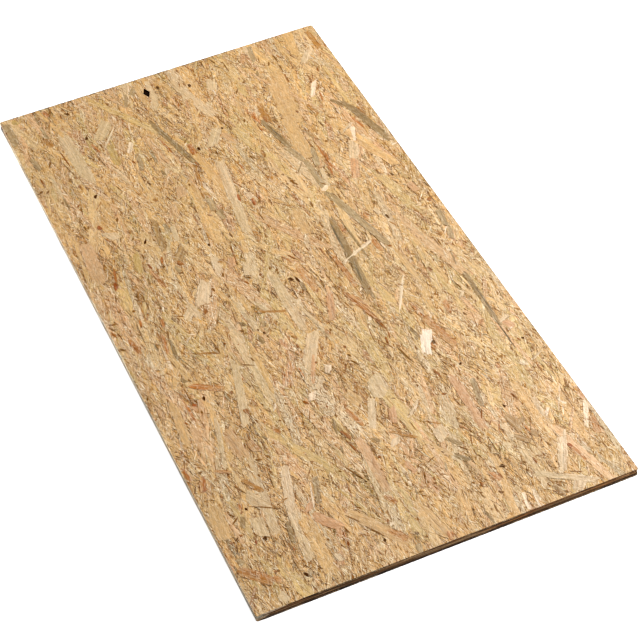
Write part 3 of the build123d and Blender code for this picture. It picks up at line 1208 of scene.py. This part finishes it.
        (2.8, 666, 321, 671, 323), (4, 737, 281, 738, 287),
    ),
}

# Marks narrower than this, in mm, are splits, stains and holes. Wider ones in the colours of stains are
# streaky, and others shorter than some widths are stubby.
NARROW_MARK = 3.5
STAINS = ("russet", "orange")
STUBBY_WIDTHS = 4

# How torn narrow, streaky, stubby and other marks are and how far they fade, and how far narrow and
# other ones run to a point
MARK_TORN = (0.1, 0.45, 0.3, 0.3)
MARK_FADE = (0.1, 0.5, 0.2, 0.15)
MARK_TAPER = (0.85, 0.15)

# How deep marks lie in mm, at the least and more for each mm of width
MARK_DEPTH = 0.03
MARK_DEPTH_GAIN = 0.004


def hand_laid(marks):
    """The strands placed one by one. Narrow ones run to a point."""
    rows = np.array([row for group in marks.values() for row in group])
    names = [name for name, group in marks.items() for _ in group]
    width = rows[:, 0]
    start, end = ((LENGTH / 2, WIDTH / 2) - rows[:, k:k + 2] * MM for k in (1, 3))
    middle, run = (start + end) / 2, end - start
    length = np.hypot(run[:, 0], run[:, 1])
    narrow = width < NARROW_MARK
    stubby = ~narrow & (length < STUBBY_WIDTHS * width * MM)
    streaky = ~narrow & np.array([name in STAINS for name in names])
    looks = [narrow, streaky, stubby]
    torn = np.select(looks, MARK_TORN[:3], MARK_TORN[3])
    return Strands(
        along=middle[:, 0],
        across=middle[:, 1],
        turn=np.arctan2(run[:, 1], run[:, 0]),
        length=length,
        width=width * MM,
        depth=(MARK_DEPTH + MARK_DEPTH_GAIN * width) * MM,
        tint=np.column_stack([linear([COLOURS[name] for name in names]), torn]),
        taper=np.where(narrow, *MARK_TAPER)[:, None] * (1, 1),
        fade=np.select(looks, MARK_FADE[:3], MARK_FADE[3]),
    )


# Pitch of the bed's strands along and across the panel, and how far they overlap
BED_LENGTH = 80 * MM
BED_WIDTH = 12 * MM
BED_LAP = 1.25


def close_laid(rng, kind):
    """Strands laid in rows that overlap, so that no hole goes through the face."""
    in_row = np.arange(-LENGTH / 2 - BED_LENGTH, LENGTH / 2 + BED_LENGTH, BED_LENGTH)
    rows = np.arange(-WIDTH / 2, WIDTH / 2 + BED_WIDTH, BED_WIDTH)
    along, across = (v.ravel() for v in np.meshgrid(in_row, rows))
    count = len(along)
    stagger = np.repeat(rng.uniform(0, 1, len(rows)), len(in_row))
    return Strands(
        along=along + stagger * BED_LENGTH,
        across=across,
        turn=np.radians(rng.normal(0, kind.turn, count)),
        length=np.full(count, BED_LENGTH * BED_LAP),
        width=np.full(count, BED_WIDTH * BED_LAP),
        depth=rng.uniform(*kind.depth, count) * MM,
        tint=tinted(rng, count, kind.tones, kind.unevenness, kind.torn),
        taper=rng.uniform(*kind.taper, (count, 2)),
        fade=np.full(count, THROWN_FADE),
    )


def picked(strands, chosen):
    return Strands(*(values[chosen] for values in vars(strands).values()))


# A shadow gap's length, place across and shift along, as shares of the strand beside it
GAP_LENGTH = (0.35, 0.85)
GAP_ASIDE = 0.46
GAP_SHIFT = 0.2

# Its greatest length and how far it lies below that strand in mm, its turn in radians and its fade
LONGEST_GAP = 30
GAP_BELOW = 0.03
GAP_TURN = 0.02
GAP_FADE = 0.2


def shadow_gaps_beside(rng, strands, share):
    """Narrow dark gaps along the right or near side of a share of the strands: partly real gaps and partly
    painted shadow beside the strand.
    """
    chosen = rng.uniform(size=len(strands.along)) < share
    count = np.count_nonzero(chosen)
    turn, length = strands.turn[chosen], strands.length[chosen]
    width = rng.uniform(*SHADOW_GAPS.width, count) * MM
    aside = -np.sign(np.cos(turn)) * (strands.width[chosen] + width) * GAP_ASIDE
    shift = rng.uniform(-GAP_SHIFT, GAP_SHIFT, count) * length
    return Strands(
        along=strands.along[chosen] + shift * np.cos(turn) - aside * np.sin(turn),
        across=strands.across[chosen] + shift * np.sin(turn) + aside * np.cos(turn),
        turn=turn + rng.normal(0, GAP_TURN, count),
        length=np.minimum(length * rng.uniform(*GAP_LENGTH, count), LONGEST_GAP * MM),
        width=width,
        depth=strands.depth[chosen] + GAP_BELOW * MM,
        tint=tinted(rng, count, SHADOW_GAPS.tones, SHADOW_GAPS.unevenness, SHADOW_GAPS.torn),
        taper=rng.uniform(*SHADOW_GAPS.taper, (count, 2)),
        fade=np.full(count, GAP_FADE),
    )


def joined(*groups):
    return Strands(*(np.concatenate(arrays) for arrays in zip(*(vars(g).values() for g in groups))))


# The back face draws from the first seed of each and the upper face from the next one.
THROW_SEED = 20
BED_SEED = 30


def faces_of_strands(material):
    """The strands of the upper face and, fewer, those of the back face."""
    marked = hand_laid(MARKS)
    narrow = marked.width < NARROW_MARK * MM
    for side, upper in (("face_", True), ("back_", False)):
        rng = np.random.default_rng(THROW_SEED + upper)
        laid = {}
        for kind in THROWN:
            count = round(kind.count * (1 if upper else kind.back))
            laid[kind.name] = scattered(rng, kind, count, picked(marked, ~narrow & upper))
            strand_piece(side, laid[kind.name], kind, material, upper)
        shadow_gapped = (BROAD, LOWER, SHORT, SPLINTERS)
        gaps = joined(*(shadow_gaps_beside(rng, laid[kind.name], kind.shadow_gapped) for kind in shadow_gapped))
        if upper:
            strand_piece(side, picked(marked, ~narrow), MARKED, material)
            strand_piece(side, picked(marked, narrow), SPLITS, material)
            gaps = joined(gaps, shadow_gaps_beside(rng, picked(marked, ~narrow), MARKED.shadow_gapped))
        strand_piece(side, gaps, SHADOW_GAPS, material, upper)
        bed = close_laid(np.random.default_rng(BED_SEED + upper), BED)
        strand_piece(side, bed, BED, material, upper)


# The mat under the strands is a grid of cells, set in from the sides and more at the corners.
MAT_CELLS = (40, 20)
MAT_INSET = 0.3 * MM
MAT_CORNER_INSET = 1.3 * MM
MAT_BOTTOM = 1.1 * MM
MAT_TOP = THICKNESS - VOID_DEPTH
MAT_CORNER_SHARE = 0.49


def strand_mat():
    """The mat under the face strands, a slab just inside the sawn edges."""
    body = bmesh.new()
    bmesh.ops.create_grid(body, x_segments=MAT_CELLS[0], y_segments=MAT_CELLS[1], size=0.5)
    for vert in body.verts:
        corner = min(abs(vert.co.x), abs(vert.co.y)) > MAT_CORNER_SHARE
        inset = MAT_CORNER_INSET if corner else MAT_INSET
        vert.co = (vert.co.x * (LENGTH - 2 * inset), vert.co.y * (WIDTH - 2 * inset), MAT_BOTTOM)
    grown = bmesh.ops.extrude_face_region(body, geom=body.faces[:])["geom"]
    for vert in (g for g in grown if isinstance(g, bmesh.types.BMVert)):
        vert.co.z = MAT_TOP
    bmesh.ops.recalc_face_normals(body, faces=body.faces)
    mesh = bpy.data.meshes.new("strand_mat")
    body.to_mesh(mesh)
    body.free()
    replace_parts(placed("strand_mat", mesh, core_material()), NODE)


# The lining's rings as a share of the void's size and a height: its rim, its floor and its underside
LINING_RINGS = (
    (0.97, THICKNESS - 0.12 * MM),
    (0.94, THICKNESS - VOID_DEPTH + 0.05 * MM),
    (1.0, THICKNESS - VOID_DEPTH),
)


def void_lining():
    """The bottom and sides of the open void, dark with painted shade."""
    middle, half_length, half_width = VOID_MIDDLE, VOID_LENGTH / 2, VOID_WIDTH / 2
    corners = [(1, 0), (0, 1), (-1, 0), (0, -1)]
    points = [
        (middle.x + a * half_length * size, middle.y + b * half_width * size, z)
        for size, z in LINING_RINGS for a, b in corners
    ]
    top, floor, under = ([k * 4 + c for c in range(4)] for k in range(3))
    walls = [(top[c], floor[c], floor[c - 1], top[c - 1]) for c in range(4)]
    backs = [(top[c], top[c - 1], under[c - 1], under[c]) for c in range(4)]
    mesh = bpy.data.meshes.new("void_lining")
    mesh.from_pydata(points, [], walls + backs + [tuple(floor), tuple(under[::-1])])
    placed("void_lining", mesh, void_material())


# Stage

FLOOR_REACH = 6.0
FLOOR_DROP = 0.05 * MM
FLOOR_PAINT = (0.86, 0.86, 0.86, 1)
WHITE = (1, 1, 1, 1)

# What the floor adds for the camera, and how bright the surround is, as light and for the camera
FLOOR_GLOW = 0.78
SURROUND = 0.21
SURROUND_SEEN = 1.0

# Soft round lights, which face the middle of the panel: name, place, size in metres and power in watts
LIGHTS = (
    ("key", (0.5, -1.0, 1.1), 0.8, 16.0),
    ("near", (-0.7, -1.1, 1.4), 1.0, 23.2),
    ("fill", (1.5, 1.3, 0.4), 0.8, 23),
)


def soft_light(name, place, size, power):
    lamp = bpy.data.lights.new(name, "AREA")
    lamp.shape = "DISK"
    lamp.size = size
    lamp.energy = power
    light = added(name, lamp)
    light.location = place
    light.rotation_euler = (-light.location).to_track_quat("-Z", "Y").to_euler()


def pale_floor():
    """A floor that takes the panel's shadow and looks white beyond it."""
    mesh = bpy.data.meshes.new("floor")
    r = FLOOR_REACH
    mesh.from_pydata([(-r, -r, 0), (r, -r, 0), (r, r, 0), (-r, r, 0)], [], [(0, 1, 2, 3)])
    floor = added("floor", mesh)
    floor.location.z = LOW.z - FLOOR_DROP
    paint = Shader("floor_paint")
    seen = paint.node("ShaderNodeLightPath").outputs["Is Camera Ray"]
    paint.show(Base_Color=FLOOR_PAINT, Roughness=0.9, Emission_Color=WHITE)
    paint.show(Emission_Strength=paint.times(seen, FLOOR_GLOW))
    mesh.materials.append(paint.material)


def stage():
    """A pale floor, a white surround, two lights on the right and a low one at the far left."""
    pale_floor()
    world = bpy.data.worlds.new("studio")
    bpy.context.scene.world = world
    world.use_nodes = True
    tree = world.node_tree
    path = tree.nodes.new("ShaderNodeLightPath")
    level = tree.nodes.new("ShaderNodeMapRange")
    level.inputs["To Min"].default_value = SURROUND
    level.inputs["To Max"].default_value = SURROUND_SEEN
    tree.links.new(path.outputs["Is Camera Ray"], level.inputs["Value"])
    tree.links.new(level.outputs[0], tree.nodes["Background"].inputs["Strength"])
    tree.nodes["Background"].inputs["Color"].default_value = WHITE
    for light in LIGHTS:
        soft_light(*light)


def camera():
    lens = bpy.data.cameras.new("camera")
    lens.sensor_width = CAMERA_SENSOR
    lens.lens = CAMERA_LENS
    view = added("camera", lens)
    view.location = CAMERA_PLACE
    level = (Vector(CAMERA_AIM) - view.location).to_track_quat("-Z", "Y")
    view.rotation_euler = (level @ Euler((0, 0, CAMERA_ROLL)).to_quaternion()).to_euler()
    bpy.context.scene.camera = view


camera()
stage()
strand_mat()
void_lining()
faces_of_strands(strand_material())
sawn_edges(edge_material())

bpy.context.scene.view_settings.view_transform = "Standard"
